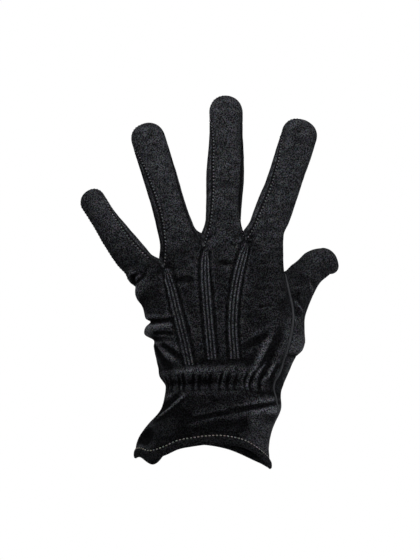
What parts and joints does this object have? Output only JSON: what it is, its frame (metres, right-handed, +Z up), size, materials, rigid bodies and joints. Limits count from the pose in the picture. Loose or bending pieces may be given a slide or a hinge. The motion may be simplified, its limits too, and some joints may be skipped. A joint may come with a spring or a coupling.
{
  "type": "cotton glove",
  "caption": "Black cotton dress glove for a left hand in its worn form, with raised points sewn down the back, a gathered elastic wrist and a flared, hemmed cuff",
  "frame": {"origin": "middle of the wrist, level with the elastic, where a hand or a glove form holds the glove", "axes": "+Z runs up along the fingers, the back of the glove faces -Y, the palm faces +Y, and the thumb is on the +X side"},
  "size_m": [0.1551, 0.0529, 0.2248],
  "materials": {
    "cotton": "matt knitted cotton jersey",
    "tuck": "matt stitched cotton",
    "elastic": "woven elastic"
  },
  "bodies": {
    "root": {"back_panel": "cotton", "palm_panel": "cotton", "fourchette_little_ring": "cotton", "fourchette_ring_middle": "cotton", "fourchette_middle_index": "cotton", "thumb": "cotton", "hem": "cotton", "wrist_elastic": "elastic", "point_little_ring": "tuck", "point_ring_middle": "tuck", "point_middle_index": "tuck"}
  },
  "joints": []
}
